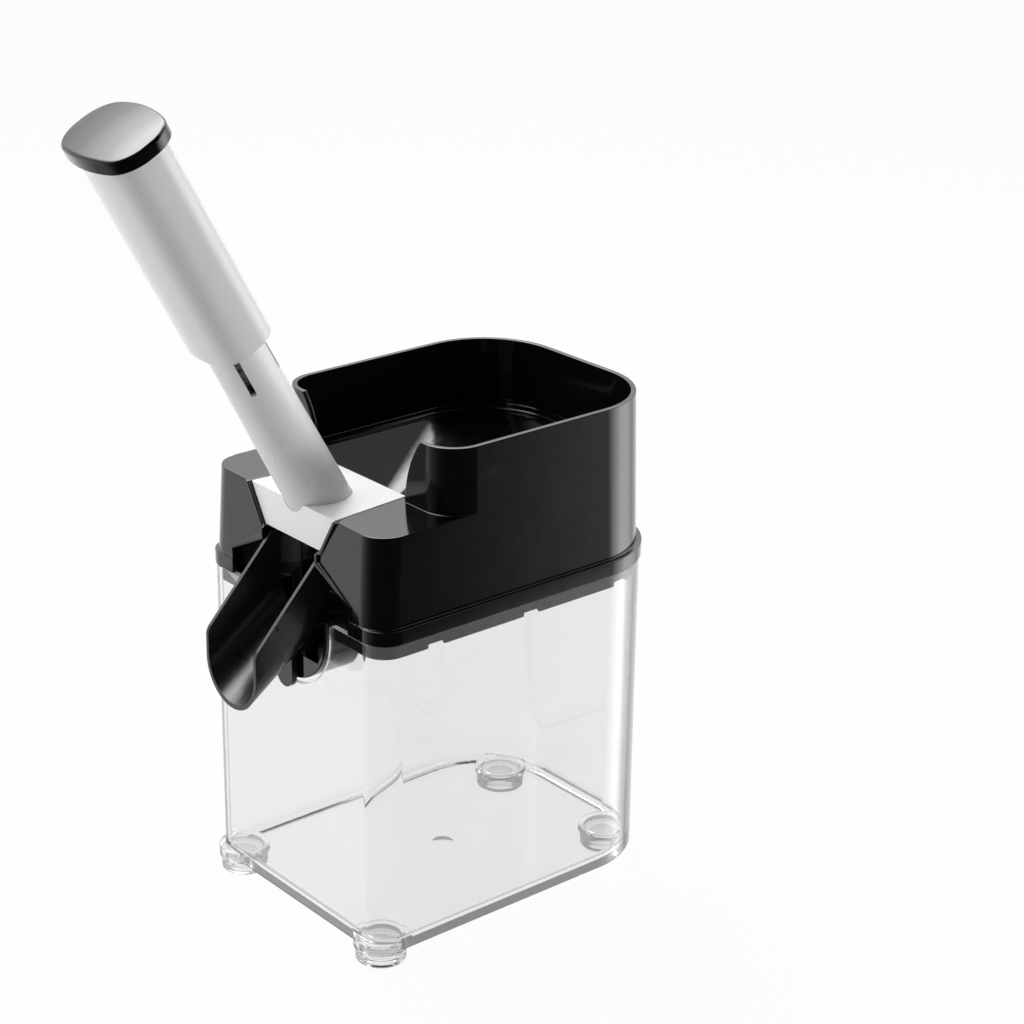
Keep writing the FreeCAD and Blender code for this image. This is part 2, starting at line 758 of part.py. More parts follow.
def make_guide_tube():
    """Tapered tube with a floor for the spring and four slots for the plunger's wings."""
    floor = tube_bottom + tube_floor_thickness
    hole = stripper_neck_radius + tube_fit
    profile = [V(hole, 0, tube_bottom), V(tube_radius_low, 0, tube_bottom), V(tube_radius_low, 0, 0),
               V(tube_radius_at(tube_top), 0, tube_top), V(tube_bore_radius, 0, tube_top),
               V(tube_bore_radius, 0, floor), V(hole, 0, floor)]
    tube = polygon(profile).revolve(V(0, 0, 0), V(0, 0, 1), 360)
    reach = 2 * tube_radius_low
    rise = tube_top - slot_bottom + past
    for i in range(slot_count):
        slot = Part.makeBox(reach, slot_width, rise, V(0, -slot_width / 2, slot_bottom))
        slot.rotate(V(0, 0, 0), V(0, 0, 1), i * 360 / slot_count)
        tube = tube.cut(slot)
    tube.rotate(V(0, 0, 0), V(0, 0, 1), slot_angle)
    return on_axis(tube)


def make_stop_ring():
    """Ring that closes the slots' open ends and holds the plunger in."""
    inner = tube_radius_at(tube_top - stop_ring_skirt) + tube_fit
    outer = inner + stop_ring_wall
    skirt = ring(outer, inner, tube_top - stop_ring_skirt, tube_top)
    top = ring(outer, stop_ring_bore_radius, tube_top, tube_top + stop_ring_top)
    lip = ring(tube_bore_radius - tube_fit, stop_ring_bore_radius, hub_top + stop_gap, tube_top)
    return on_axis(fuse([skirt, top, lip]))


def make_stripper():
    flange_bottom = tube_bottom - stripper_flange_height
    flange = ring(stripper_flange_radius, stripper_bore_radius, flange_bottom, tube_bottom)
    neck = ring(stripper_neck_radius, stripper_bore_radius, tube_bottom, tube_bottom + tube_floor_thickness)
    return on_axis(fuse([flange, neck]))


def make_washer(s0):
    return on_axis(ring(tube_bore_radius - washer_clearance, washer_bore_radius, s0, s0 + washer_thickness))


def spring_height(turn, total):
    """Height of the wire along the axis: close end turns, evenly spaced turns between."""
    def ramp(x):
        if x < 0.75:
            return 0.0
        return (x - 0.75) ** 2 if x < 1.25 else x - 1.0
    active = spring_turns - 2
    extra = (total - spring_end_pitch * spring_turns) / active
    return spring_end_pitch * turn + extra * (ramp(turn) - ramp(turn - active))


def arc_from(start, control, end):
    """Round arc from start to end whose end tangents meet at the control point."""
    middle = (start + end) * 0.5
    rise = control - middle
    half_chord = (end - start).Length / 2
    half_turn = math.atan2(rise.Length, half_chord)
    crown = middle + rise * (half_chord * math.tan(half_turn / 2) / rise.Length)
    return Part.Arc(start, crown, end).toShape()


def make_spring():
    """Return spring as one unbroken wire on pairs of tangent arcs, a quarter turn each."""
    low = tube_bottom + tube_floor_thickness + washer_thickness + spring_wire / 2 + spring_end_gap
    high = hub_bottom - washer_thickness - spring_wire / 2 - spring_end_gap
    total = high - low

    def point(turn):
        angle = 2 * math.pi * turn
        return V(spring_mean_radius * math.cos(angle), spring_mean_radius * math.sin(angle),
                 low + spring_height(turn, total))

    def tangent(turn):
        step = 0.001
        along = point(turn + step) - point(turn - step)
        return along.normalize()

    edges = []
    steps = spring_turns * 4
    for i in range(steps):
        p0, p1 = point(i / 4), point((i + 1) / 4)
        t0, t1 = tangent(i / 4), tangent((i + 1) / 4)
        chord = p1 - p0
        both = t0 + t1
        bend = 2 * (1 - t0.dot(t1))
        reach = (-chord.dot(both) + math.sqrt(chord.dot(both) ** 2 + bend * chord.dot(chord))) / bend
        q0, q1 = p0 + t0 * reach, p1 - t1 * reach
        joint = (q0 + q1) * 0.5
        edges.append(arc_from(p0, q0, joint))
        edges.append(arc_from(joint, q1, p1))
    section = Part.Wire([Part.makeCircle(spring_wire / 2, point(0), tangent(0))])
    shell = Part.BRepOffsetAPI.MakePipeShell(Part.Wire(edges))
    shell.add(section)
    shell.build()
    shell.makeSolid()
    per_turn = 24
    samples = [point(i / per_turn) for i in range(spring_turns * per_turn + 1)]
    gap = min((samples[i] - samples[j]).Length for i in range(len(samples))
              for j in range(i + per_turn // 2, min(i + 3 * per_turn // 2, len(samples)))) - spring_wire
    print("return_spring least gap to itself %.2f mm" % gap)
    return on_axis(shell.shape())


# Handle and plunger

def make_sleeve():
    """Oblong handle tube with a bridge near its top that the screw clamps."""
    outline = (sleeve_width, sleeve_depth, sleeve_side_radius, sleeve_end_radius, sleeve_corner_radius)
    tube = oblong_block(outline, 0, sleeve_bottom, cap_seat)
    tube = tube.cut(oblong_block(outline, sleeve_wall, sleeve_bottom - past, cap_seat + past))
    bridge_top = bridge_bottom + bridge_thickness
    bridge = oblong_block(outline, sleeve_wall / 2, bridge_bottom, bridge_top)
    hole = cylinder(screw_shank_radius + screw_hole_clearance, bridge_bottom - past, bridge_top + past)
    return on_axis(fuse([tube, bridge]).cut(hole))


def make_cap():
    """Domed oblong cap that overhangs the sleeve, with a plug that fits inside it."""
    outline = (cap_width, cap_depth, cap_side_radius, cap_end_radius, cap_corner_radius)
    top = cap_seat + cap_height
    block = oblong_block(outline, 0, cap_seat, top)
    dome = block.common(Part.makeSphere(cap_ball_radius, V(0, 0, top - cap_ball_radius)))
    crown = max(dome.Faces, key=lambda face: face.CenterOfMass.z)
    cap = dome.makeFillet(cap_edge_radius, crown.OuterWire.Edges)
    sleeve = (sleeve_width, sleeve_depth, sleeve_side_radius, sleeve_end_radius, sleeve_corner_radius)
    plug_bottom = bridge_bottom + bridge_thickness + cap_plug_gap
    plug = oblong_block(sleeve, sleeve_wall + cap_fit, plug_bottom, cap_seat + cap_height / 2)
    well = oblong_block(sleeve, sleeve_wall + cap_fit + cap_plug_wall, plug_bottom - past, cap_seat)
    return on_axis(fuse([cap, plug.cut(well)]))


def make_core():
    """Plunger rod with the hub that presses on the spring and four wings in the slots."""
    rod = cylinder(core_radius, core_bottom, bridge_bottom)
    hub = cylinder(hub_radius, hub_bottom, hub_top)
    wings = []
    for i in range(slot_count):
        wing = Part.makeBox(wing_reach, wing_thickness, hub_height, V(0, -wing_thickness / 2, hub_bottom))
        wing.rotate(V(0, 0, 0), V(0, 0, 1), slot_angle + i * 360 / slot_count)
        wings.append(wing)
    core = fuse([rod, hub] + wings)
    core = core.cut(cylinder(pin_radius + pin_fit, core_bottom - past, core_bottom + pin_grip + pin_fit))
    screw_hole_bottom = bridge_bottom + bridge_thickness - screw_length - sink
    core = core.cut(cylinder(screw_shank_radius + pin_fit, screw_hole_bottom, bridge_bottom + past))
    return on_axis(core.cut(dowel_shape(dowel_radius + pin_fit, 2 * core_radius)))


def dowel_shape(radius, length):
    return Part.makeCylinder(radius, length, V(-length / 2, 0, core_bottom + dowel_setback), V(1, 0, 0))


def make_pin():
    """Steel pin with a cross-shaped tip."""
    pin = cylinder(pin_radius, pin_tip, core_bottom + pin_grip)
    blades = []
    for i in range(2):
        corner = V(-star_radius, -star_blade / 2, pin_tip)
        blade = Part.makeBox(2 * star_radius, star_blade, star_length, corner)
        blade.rotate(V(0, 0, 0), V(0, 0, 1), 45 + 90 * i)
        blades.append(blade)
    star = fuse(blades).common(cylinder(star_radius - pin_fit, pin_tip, pin_tip + star_length))
    pin = fuse([pin, star])
    return on_axis(pin.cut(dowel_shape(dowel_radius + pin_fit, 4 * pin_radius)))


def make_dowel():
    return on_axis(dowel_shape(dowel_radius, 2 * (core_radius - dowel_end_margin)))


def make_screw():
    seat = bridge_bottom + bridge_thickness
    head = cylinder(screw_head_radius, seat, seat + screw_head_height)
    shank = cylinder(screw_shank_radius, seat - screw_length, seat)
    screw = fuse([head, shank])
    recess_bottom = seat + screw_head_height - screw_recess_depth
    for angle in (0, 90):
        corner = V(-screw_head_radius / 2, -screw_recess_width / 2, recess_bottom)
        recess = Part.makeBox(screw_head_radius, screw_recess_width, screw_head_height, corner)
        recess.rotate(V(0, 0, 0), V(0, 0, 1), angle)
        screw = screw.cut(recess)
    return on_axis(screw)


def make_parts():
    """Every piece under its own name."""
    parts = {"container": make_container()}
    names = ["foot_front_left", "foot_front_right", "foot_rear_left", "foot_rear_right"]
    for name, (x, y) in zip(names, foot_centres()):
        parts[name] = make_foot(x, y)
    parts["housing"] = make_housing()
    parts["cherry_seat"] = make_seat()
    parts["seat_ring"] = make_seat_ring()
    parts["stone_guide"] = make_stone_guide()
    parts["chute"] = make_chute()
    parts["pitting_head"] = make_head()
    parts["guide_tube"] = make_guide_tube()
    parts["stop_ring"] = make_stop_ring()
    parts["stripper_bush"] = make_stripper()
    parts["lower_washer"] = make_washer(tube_bottom + tube_floor_thickness)
    parts["upper_washer"] = make_washer(hub_bottom - washer_thickness)
    parts["return_spring"] = make_spring()
    parts["handle_sleeve"] = make_sleeve()
    parts["handle_cap"] = make_cap()
    parts["plunger_core"] = make_core()
    parts["pitting_pin"] = make_pin()
    parts["pin_dowel"] = make_dowel()
    parts["handle_screw"] = make_screw()
    return parts


def main():
    os.makedirs("parts", exist_ok=True)
    for name, shape in make_parts().items():
        shape.exportStep("parts/%s.step" % name)
        box = shape.BoundBox
        print("%-18s solids %d valid %s volume %.0f x %.2f y %.2f to %.2f z %.2f to %.2f" % (
            name, len(shape.Solids), shape.isValid(), shape.Volume, box.XMax, box.YMin, box.YMax,
            box.ZMin, box.ZMax))


main()
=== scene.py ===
import json
import math

import bmesh
import bpy
from mathutils import Matrix, Vector

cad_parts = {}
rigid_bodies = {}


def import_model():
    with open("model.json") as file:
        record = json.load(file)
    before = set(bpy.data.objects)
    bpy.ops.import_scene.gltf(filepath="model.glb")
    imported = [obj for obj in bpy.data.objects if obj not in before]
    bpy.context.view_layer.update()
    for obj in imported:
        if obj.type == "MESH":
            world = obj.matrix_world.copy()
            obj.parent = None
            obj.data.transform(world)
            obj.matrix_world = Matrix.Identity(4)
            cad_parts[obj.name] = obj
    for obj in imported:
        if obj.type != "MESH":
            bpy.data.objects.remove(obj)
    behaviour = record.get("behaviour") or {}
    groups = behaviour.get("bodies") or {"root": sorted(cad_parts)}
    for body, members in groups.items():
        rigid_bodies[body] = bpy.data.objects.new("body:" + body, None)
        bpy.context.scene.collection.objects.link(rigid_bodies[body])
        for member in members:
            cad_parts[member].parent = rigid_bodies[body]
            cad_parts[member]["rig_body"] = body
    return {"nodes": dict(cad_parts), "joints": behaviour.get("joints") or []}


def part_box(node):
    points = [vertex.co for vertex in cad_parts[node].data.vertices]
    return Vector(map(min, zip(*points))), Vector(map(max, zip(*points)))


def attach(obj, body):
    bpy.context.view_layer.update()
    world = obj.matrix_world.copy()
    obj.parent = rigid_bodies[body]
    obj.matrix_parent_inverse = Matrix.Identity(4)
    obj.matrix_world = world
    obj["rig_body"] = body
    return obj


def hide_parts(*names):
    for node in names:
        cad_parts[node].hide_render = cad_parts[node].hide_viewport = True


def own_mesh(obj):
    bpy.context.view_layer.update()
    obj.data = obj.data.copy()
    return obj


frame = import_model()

# Looks of a hand cherry pitter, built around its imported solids. Metres, in the solids' own frame:
# +Z up, the chute and the leaning handle face -Y, X = 0 is the plane of symmetry.

MM = 0.001
scene = bpy.context.scene
nodes = frame["nodes"]
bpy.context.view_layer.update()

# The handle's axis, from the frame
press = next(joint for joint in frame["joints"] if joint["name"] == "handle_press")
axis_up = -Vector(press["axis"]).normalized()
press_stroke = press["range_m"][1]

# Rounding of edges. Where a branching node's edges are short or meet at a narrow angle, they stay sharp.
merge_distance = 0.002 * MM
flat_angle = math.radians(0.4)
sharp_angle = math.radians(30.0)
narrow_angle = math.radians(15.0)
shortest_edge = 0.6 * MM
branching_nodes = ("container", "housing")

# Feet
foot_bore_radius = 5.0 * MM
foot_plug_radius = 7.6 * MM
foot_plug_height = 2.2 * MM
foot_cap_thickness = 1.6 * MM
foot_ridge_depth = 0.6 * MM
foot_ridges = 3
foot_rounding = 0.35 * MM

# Cherry seat, counted along the axis from its foot on the tier
seat_top = -38.0 * MM
seat_rim_height = 2.0 * MM
seat_rim_radius = 11.2 * MM
seat_mouth_radius = 9.6 * MM
seat_shelf_radius = 9.2 * MM
seat_bore_radius = 4.0 * MM
seat_bowl_depth = 3.4 * MM
seat_bowl_radius = 5.4 * MM
seat_bowl_lift = 1.4 * MM
seat_lip_lift = 0.5 * MM
seat_wall = 1.4 * MM
seat_rounding = 0.35 * MM
tube_floor_top = -4.0 * MM

# Return spring
spring_wire = 1.2 * MM
spring_mean_radius = 6.7 * MM
spring_turns = 18
spring_close_pitch = 1.75 * MM
spring_steps = 32
spring_sides = 12
washer_half = 0.4 * MM

# Camera, at the photograph's angle
camera_azimuth = math.radians(51.515)
camera_elevation = math.radians(21.714)
camera_distance = 908.56 * MM
camera_aim = Vector((0.0, 28.19 * MM, 145.33 * MM))
camera_lens = 88.28
camera_shift_x = 0.0876

# Studio. The walls' brightness is given round the compass from -Y by -X, +Y and +X, as shares of a turn.
# The roof's is given by height. The reaches give shares of both, by height and from -X to +X.
floor_half_size = 12.0
floor_glow = 0.95
wall_peak = 4.2
wall_levels = ((0.0, 0.10), (0.056, 0.15), (0.14, 1.0), (0.25, 1.1), (0.40, 1.0), (0.478, 1.0),
               (0.53, 3.2), (0.565, 4.2), (0.60, 2.6), (0.628, 0.8), (0.6377, 0.25), (0.644, 0.06),
               (0.67, 0.02), (0.95, 0.03), (1.0, 0.10))
roof_peak = 12.0
roof_levels = ((0.30, 0.2), (0.37, 0.7), (0.50, 2.0), (0.60, 4.2), (0.685, 6.3), (0.76, 10.5), (1.0, 12.0))
wall_reach = ((0.17, 0.22), (0.28, 1.0), (0.625, 1.0), (0.80, 0.25))
roof_reach = ((0.33, 1.0), (0.50, 0.0))
ambient_floor = 0.10
ambient_share = 0.72
ambient_peak = 1.0
trapped_bounces = 3.5
trapped_level = 0.45

# Clear plastic. The rim stops and rim colour paint shade on its upright rims, darker where they are seen
# edge-on.
painted_rim_stops = ((0.53, 0.0), (0.69, 1.0))
painted_rim_color = (0.10, 0.10, 0.11)
clear_depth_color = (0.48, 0.50, 0.50)
straight_bounces = 5.5


# Shader maths

class Value:
    """A shader socket that Python's operators work on, each adding one Math node."""

    def __init__(self, graph, socket):
        self.graph = graph
        self.socket = socket

    def output(self, name):
        """Another output of the same node."""
        return Value(self.graph, self.socket.node.outputs[name])

    def math(self, operation, first, second):
        return self.graph.node("ShaderNodeMath", {"operation": operation}, first, second)

    def __add__(self, other):
        return self.math("ADD", self, other)

    def __radd__(self, other):
        return self.math("ADD", other, self)

    def __sub__(self, other):
        return self.math("SUBTRACT", self, other)

    def __rsub__(self, other):
        return self.math("SUBTRACT", other, self)

    def __mul__(self, other):
        return self.math("MULTIPLY", self, other)

    def __rmul__(self, other):
        return self.math("MULTIPLY", other, self)

    def __gt__(self, other):
        return self.math("GREATER_THAN", self, other)


class Graph:
    """Adds nodes to one node tree."""

    def __init__(self, tree):
        self.tree = tree
        tree.nodes.clear()

    def node(self, kind, settings=None, *values, **named):
        """Adds a node, sets it, fills its sockets in order or by name, and returns its output."""
        made = self.tree.nodes.new(kind)
        for name, value in (settings or {}).items():
            if name == "stops":
                self.set_stops(made.color_ramp, value)
            else:
                setattr(made, name, value)
        sockets = [socket for socket in made.inputs if socket.enabled]
        for socket, value in zip(sockets, values):
            self.fill(socket, value)
        for name, value in named.items():
            self.fill(next(s for s in sockets if s.name == name.replace("_", " ")), value)
        outputs = [socket for socket in made.outputs if socket.enabled]
        return Value(self, outputs[0]) if outputs else None

    def fill(self, socket, value):
        if isinstance(value, Value):
            self.tree.links.new(value.socket, socket)
        elif value is not None:
            socket.default_value = value

    def set_stops(self, ramp, stops):
        while len(ramp.elements) < len(stops):
            ramp.elements.new(1.0)
        for element, (position, level) in zip(ramp.elements, stops):
            element.position = position
            element.color = (level, level, level, 1.0)

    def place(self):
        """Where a point lies on the piece."""
        return self.node("ShaderNodeTexCoord").output("Object")

    def stretched(self, scale, turn):
        """The place, turned and stretched, for drawn-out patterns."""
        return self.node("ShaderNodeMapping", None, Vector=self.place(), Rotation=turn, Scale=scale)

    def noise(self, where, scale, detail=2.0, roughness=0.5):
        return self.node("ShaderNodeTexNoise", None, Vector=where, Scale=scale, Detail=detail,
                         Roughness=roughness)

    def ramp(self, value, *stops):
        return self.node("ShaderNodeValToRGB", {"stops": stops}, value)

    def tint(self, mask, low, high):
        """A colour between two, by a mask."""
        return self.node("ShaderNodeMix", {"data_type": "RGBA"}, Factor=mask, A=opaque(low), B=opaque(high))

    def bump(self, height, distance):
        return self.node("ShaderNodeBump", None, Strength=1.0, Distance=distance, Height=height)

    def surface(self, shader, volume=None):
        self.node("ShaderNodeOutputMaterial", None, Surface=shader, Volume=volume)


def opaque(color):
    """A colour with its alpha, from a grey or a triple. A link stays as it is."""
    if isinstance(color, Value):
        return color
    if not isinstance(color, tuple):
        color = (color, color, color)
    return (*color, 1.0)


def new_material(name):
    """A material and the graph that builds it."""
    material = bpy.data.materials.new(name)
    material.use_nodes = True
    return material, Graph(material.node_tree)


# Materials

def gloss_black(name, roughness, level=0.0032):
    """Polished black moulding: slow flow waves, faint haze, hairlines and a few dust specks."""
    material, graph = new_material(name)
    flow = graph.noise(graph.place(), 38.0, 3.0)
    haze = graph.noise(graph.place(), 210.0, 4.0, 0.6)
    hairlines = graph.noise(graph.stretched((2600.0, 90.0, 70.0), (0.4, 0.2, 0.9)), 1.0, 3.0)
    lines = graph.ramp(hairlines, (0.60, 0.0), (0.78, 1.0))
    dust = graph.ramp(graph.noise(graph.place(), 900.0), (0.77, 0.0), (0.81, 1.0))
    color = graph.tint(haze * 0.7 + dust * 0.4, level * 0.7, level * 1.6)
    rough = roughness + (haze - 0.5) * 0.05 + lines * 0.05 + dust * 0.12
    height = flow * 0.8 + haze * 0.12 + lines * 0.02
    shader = graph.node("ShaderNodeBsdfPrincipled", None, Base_Color=color, Roughness=rough, IOR=1.5,
                        Normal=graph.bump(height, 0.05 * MM))
    graph.surface(shader)
    return material


def satin_plastic(name, color, roughness, grain):
    """Pale moulding: soft cloudiness, a fine even grain and faint drag marks along the part."""
    material, graph = new_material(name)
    cloud = graph.noise(graph.place(), 60.0, 3.0)
    spark = graph.noise(graph.place(), 3800.0, 2.0)
    drag = graph.noise(graph.stretched((1500.0, 1500.0, 60.0), (math.radians(-28.8), 0.0, 0.0)), 1.0, 2.0)
    low = tuple(c * 0.96 for c in color)
    tone = graph.tint(cloud, low, color)
    rough = roughness + (cloud - 0.5) * 0.08 + (drag - 0.5) * 0.07
    height = spark * 0.5 + drag * 0.1 + cloud * 0.4
    shader = graph.node("ShaderNodeBsdfPrincipled", None, Base_Color=tone, Roughness=rough, IOR=1.46,
                        Normal=graph.bump(height, grain))
    graph.surface(shader)
    return material


def clear_plastic(name, roughness, wave, density, tint_color):
    """Clear moulding with slow waves, fine scratches, grey in its depth, and painted shade darkening its
    upright rims where they are seen edge-on.

    A ray that has bounced many times inside goes straight on, so that thick edges stay clear.
    """
    material, graph = new_material(name)
    flow = graph.noise(graph.place(), 26.0, 2.0)
    fine = graph.noise(graph.place(), 160.0, 2.0)
    scratches = graph.noise(graph.stretched((1900.0, 40.0, 60.0), (0.3, 0.5, 0.8)), 1.0, 3.0)
    lines = graph.ramp(scratches, (0.66, 0.0), (0.8, 1.0))
    rough = roughness + lines * 0.05 + fine * 0.01
    body = graph.tint(fine, tuple(0.985 * c for c in tint_color), tint_color)
    facing = graph.node("ShaderNodeLayerWeight", None, Blend=0.5).output("Facing")
    rise = graph.node("ShaderNodeSeparateXYZ", None,
                      graph.node("ShaderNodeNewGeometry").output("Normal")).output("Z")
    # Painted shade: the base colour darkens toward the edge-on rims of upright walls.
    painted_rim_shade = graph.ramp(facing, *painted_rim_stops) * (1.0 - rise * rise)
    tone = graph.tint(painted_rim_shade, body, painted_rim_color)
    height = flow * 0.85 + fine * 0.1 + lines * 0.02
    glass = graph.node("ShaderNodeBsdfPrincipled", None, Base_Color=tone, Roughness=rough, IOR=1.49,
                       Transmission_Weight=1.0, Normal=graph.bump(height, wave))
    clear = graph.node("ShaderNodeBsdfTransparent", None, Color=opaque(0.93))
    path = graph.node("ShaderNodeLightPath")
    deep = path.output("Ray Depth") > straight_bounces
    straight = deep + (1.0 - deep) * path.output("Is Shadow Ray") * 0.9
    shader = graph.node("ShaderNodeMixShader", None, straight, glass, clear)
    depth = graph.node("ShaderNodeVolumeAbsorption", None, Color=opaque(clear_depth_color), Density=density)
    graph.surface(shader, depth)
    return material


def seat_rubber():
    """Milky soft silicone with a cloudy tone and fine pores."""
    material, graph = new_material("seat_silicone")
    cloud = graph.noise(graph.place(), 130.0, 3.0)
    pores = graph.noise(graph.place(), 2600.0, 2.0)
    tone = graph.tint(cloud, (0.55, 0.55, 0.53), (0.68, 0.68, 0.66))
    shader = graph.node("ShaderNodeBsdfPrincipled", None, Base_Color=tone, Roughness=0.45 + cloud * 0.15,
                        IOR=1.41, Subsurface_Weight=0.15, Subsurface_Scale=1.0 * MM,
                        Normal=graph.bump(pores, 0.02 * MM))
    graph.surface(shader)
    return material


def bright_metal(name, color, roughness, turn):
    """Turned or drawn steel: fine lines along the work, small stains and uneven polish."""
    material, graph = new_material(name)
    lines = graph.noise(graph.stretched((220.0, 9000.0, 9000.0), turn), 1.0, 3.0)
    stain = graph.noise(graph.place(), 180.0, 4.0, 0.6)
    tone = graph.tint(stain, tuple(0.82 * c for c in color), color)
    rough = roughness + (stain - 0.5) * 0.14 + (lines - 0.5) * 0.10
    shader = graph.node("ShaderNodeBsdfPrincipled", None, Base_Color=tone, Metallic=1.0, Roughness=rough,
                        Normal=graph.bump(lines, 0.01 * MM))
    graph.surface(shader)
    return material


# Mesh helpers

def middle(node):
    low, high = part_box(node)
    return (low + high) / 2


def axis_frame(at):
    """Places local Z on the handle's axis, with the origin at a point."""
    return Matrix.Translation(at) @ Vector((0, 0, 1)).rotation_difference(axis_up).to_matrix().to_4x4()


def finish_mesh(name, bm, material, smooth_angle=35.0):
    """Makes an object from a mesh, smooth across edges that turn by less than an angle in degrees."""
    bmesh.ops.remove_doubles(bm, verts=bm.verts, dist=merge_distance)
    bmesh.ops.recalc_face_normals(bm, faces=bm.faces)
    for face in bm.faces:
        face.smooth = True
    for edge in bm.edges:
        edge.smooth = len(edge.link_faces) == 2 and edge.calc_face_angle(0.0) < math.radians(smooth_angle)
    mesh = bpy.data.meshes.new(name)
    bm.to_mesh(mesh)
    bm.free()
    mesh.materials.append(material)
    made = bpy.data.objects.new(name, mesh)
    scene.collection.objects.link(made)
    return made


def turned_mesh(profile, steps):
    """Solid of revolution about local Z from a closed outline of (radius, height) points."""
    bm = bmesh.new()
    verts = [bm.verts.new((radius, 0.0, height)) for radius, height in profile]
    edges = [bm.edges.new((verts[i - 1], verts[i])) for i in range(len(verts))]
    bmesh.ops.spin(bm, geom=verts + edges, cent=(0, 0, 0), axis=(0, 0, 1), angle=2 * math.pi,
                   steps=steps, use_merge=True)
    return bm


def arc_points(centre, radius, start, end, steps):
    """Points of an arc in an outline, from one angle to another in degrees."""
    angles = [math.radians(start + (end - start) * i / steps) for i in range(steps + 1)]
    return [(centre[0] + radius * math.cos(a), centre[1] + radius * math.sin(a)) for a in angles]


# Rounded copies of the moulded and turned pieces

def hard_to_round(sharp):
    """Corners that a radius can't follow: at splinters, and where two sharp edges meet at a narrow angle."""
    arms = {}
    skipped = set()
    for edge in sharp:
        if edge.calc_length() < shortest_edge:
            skipped.update(edge.verts)
        for vert in edge.verts:
            arms.setdefault(vert, []).append(edge.other_vert(vert).co - vert.co)
    for vert, spread in arms.items():
        if any(a.angle(b, 0.0) < narrow_angle for i, a in enumerate(spread) for b in spread[:i]):
            skipped.add(vert)
    return skipped


def round_edges(node, material, radius):
    """Puts a copy of a solid in its place, with its sharp edges broken by a small radius."""
    bm = bmesh.new()
    bm.from_mesh(nodes[node].data)
    bmesh.ops.remove_doubles(bm, verts=bm.verts, dist=merge_distance)
    bmesh.ops.dissolve_limit(bm, angle_limit=flat_angle, verts=bm.verts, edges=bm.edges)
    bmesh.ops.connect_verts_concave(bm, faces=bm.faces)
    layer = bm.edges.layers.float.new("bevel_weight_edge")
    for face in bm.faces:
        face.smooth = True
    sharp = [edge for edge in bm.edges if edge.calc_face_angle(0.0) > sharp_angle]
    skipped = hard_to_round(sharp) if node in branching_nodes else set()
    for edge in sharp:
        if skipped.isdisjoint(edge.verts):
            edge[layer] = 1.0
        else:
            edge.smooth = False
    mesh = bpy.data.meshes.new("rounded_" + node)
    bm.to_mesh(mesh)
    bm.free()
    mesh.materials.clear()
    mesh.materials.append(material)
    piece = bpy.data.objects.new("rounded_" + node, mesh)
    scene.collection.objects.link(piece)
    bevel = piece.modifiers.new("rounding", "BEVEL")
    bevel.width = radius
    bevel.segments = 2
    bevel.limit_method = "WEIGHT"
    bevel.use_clamp_overlap = node not in branching_nodes
    piece.modifiers.new("shading", "WEIGHTED_NORMAL").keep_sharp = True
    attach(piece, nodes[node]["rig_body"])
    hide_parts(node)


# New pieces

def make_foot(node, material):
    """Hollow ridged foot with a plug that sits in the container's socket."""
    low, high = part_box(node)
    height = high.z - foot_plug_height
    radius = (high.x - low.x) / 2
    round_over = foot_rounding
    ridge = height / foot_ridges
    outline = arc_points((foot_bore_radius + round_over, round_over), round_over, 180, 270, 4)
    for i in range(foot_ridges):
        base = i * ridge
        bulge = ridge / 2 - foot_ridge_depth / 2
        centre = (radius - foot_ridge_depth, base + ridge / 2)
        if i > 0:
            outline.append((radius - foot_ridge_depth, base))
        outline += [(centre[0] + foot_ridge_depth * math.cos(a), centre[1] + bulge * math.sin(a))
                    for a in (math.radians(-90 + 180 * k / 8) for k in range(9))]
    outline += [(foot_plug_radius + round_over, height), (foot_plug_radius, height + round_over)]
    outline += arc_points((foot_plug_radius - round_over, height + foot_plug_height - round_over),
                          round_over, 0, 90, 4)
    ceiling = height - foot_cap_thickness
    outline += [(0.0, height + foot_plug_height), (0.0, ceiling)]
    outline += arc_points((foot_bore_radius - round_over, ceiling - round_over), round_over, 90, 0, 4)
    bm = turned_mesh(outline, 64)
    foot_middle = middle(node)
    bmesh.ops.translate(bm, verts=bm.verts, vec=(foot_middle.x, foot_middle.y, 0.0))
    foot = finish_mesh("soft_" + node, bm, material)
    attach(foot, "container")
    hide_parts(node)


def make_cherry_seat(axis_foot, material):
    """Soft cup with a rolled mouth and a thin lip round the stone hole."""
    low = seat_top - seat_rim_height
    roll = seat_rounding
    outline = [(seat_bore_radius + roll, seat_top - seat_bowl_depth + seat_lip_lift)]
    outline += arc_points((seat_mouth_radius - seat_bowl_radius, seat_top + seat_bowl_lift),
                          seat_bowl_radius, -50, -15, 8)
    outline += arc_points((seat_rim_radius - roll, seat_top - roll), roll, 90, 0, 4)
    outline += arc_points((seat_rim_radius - roll, low + roll), roll, 0, -90, 4)
    outline += [(seat_shelf_radius, low), (seat_bore_radius + roll, seat_top - seat_bowl_depth - seat_wall)]
    outline += arc_points((seat_bore_radius + roll, seat_top - seat_bowl_depth - seat_wall / 2),
                          roll, -90, -270, 6)
    bm = turned_mesh(outline, 72)
    bmesh.ops.transform(bm, matrix=axis_frame(axis_foot), verts=bm.verts)
    seat = finish_mesh("soft_cherry_seat", bm, material)
    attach(seat, "housing")
    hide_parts("cherry_seat")


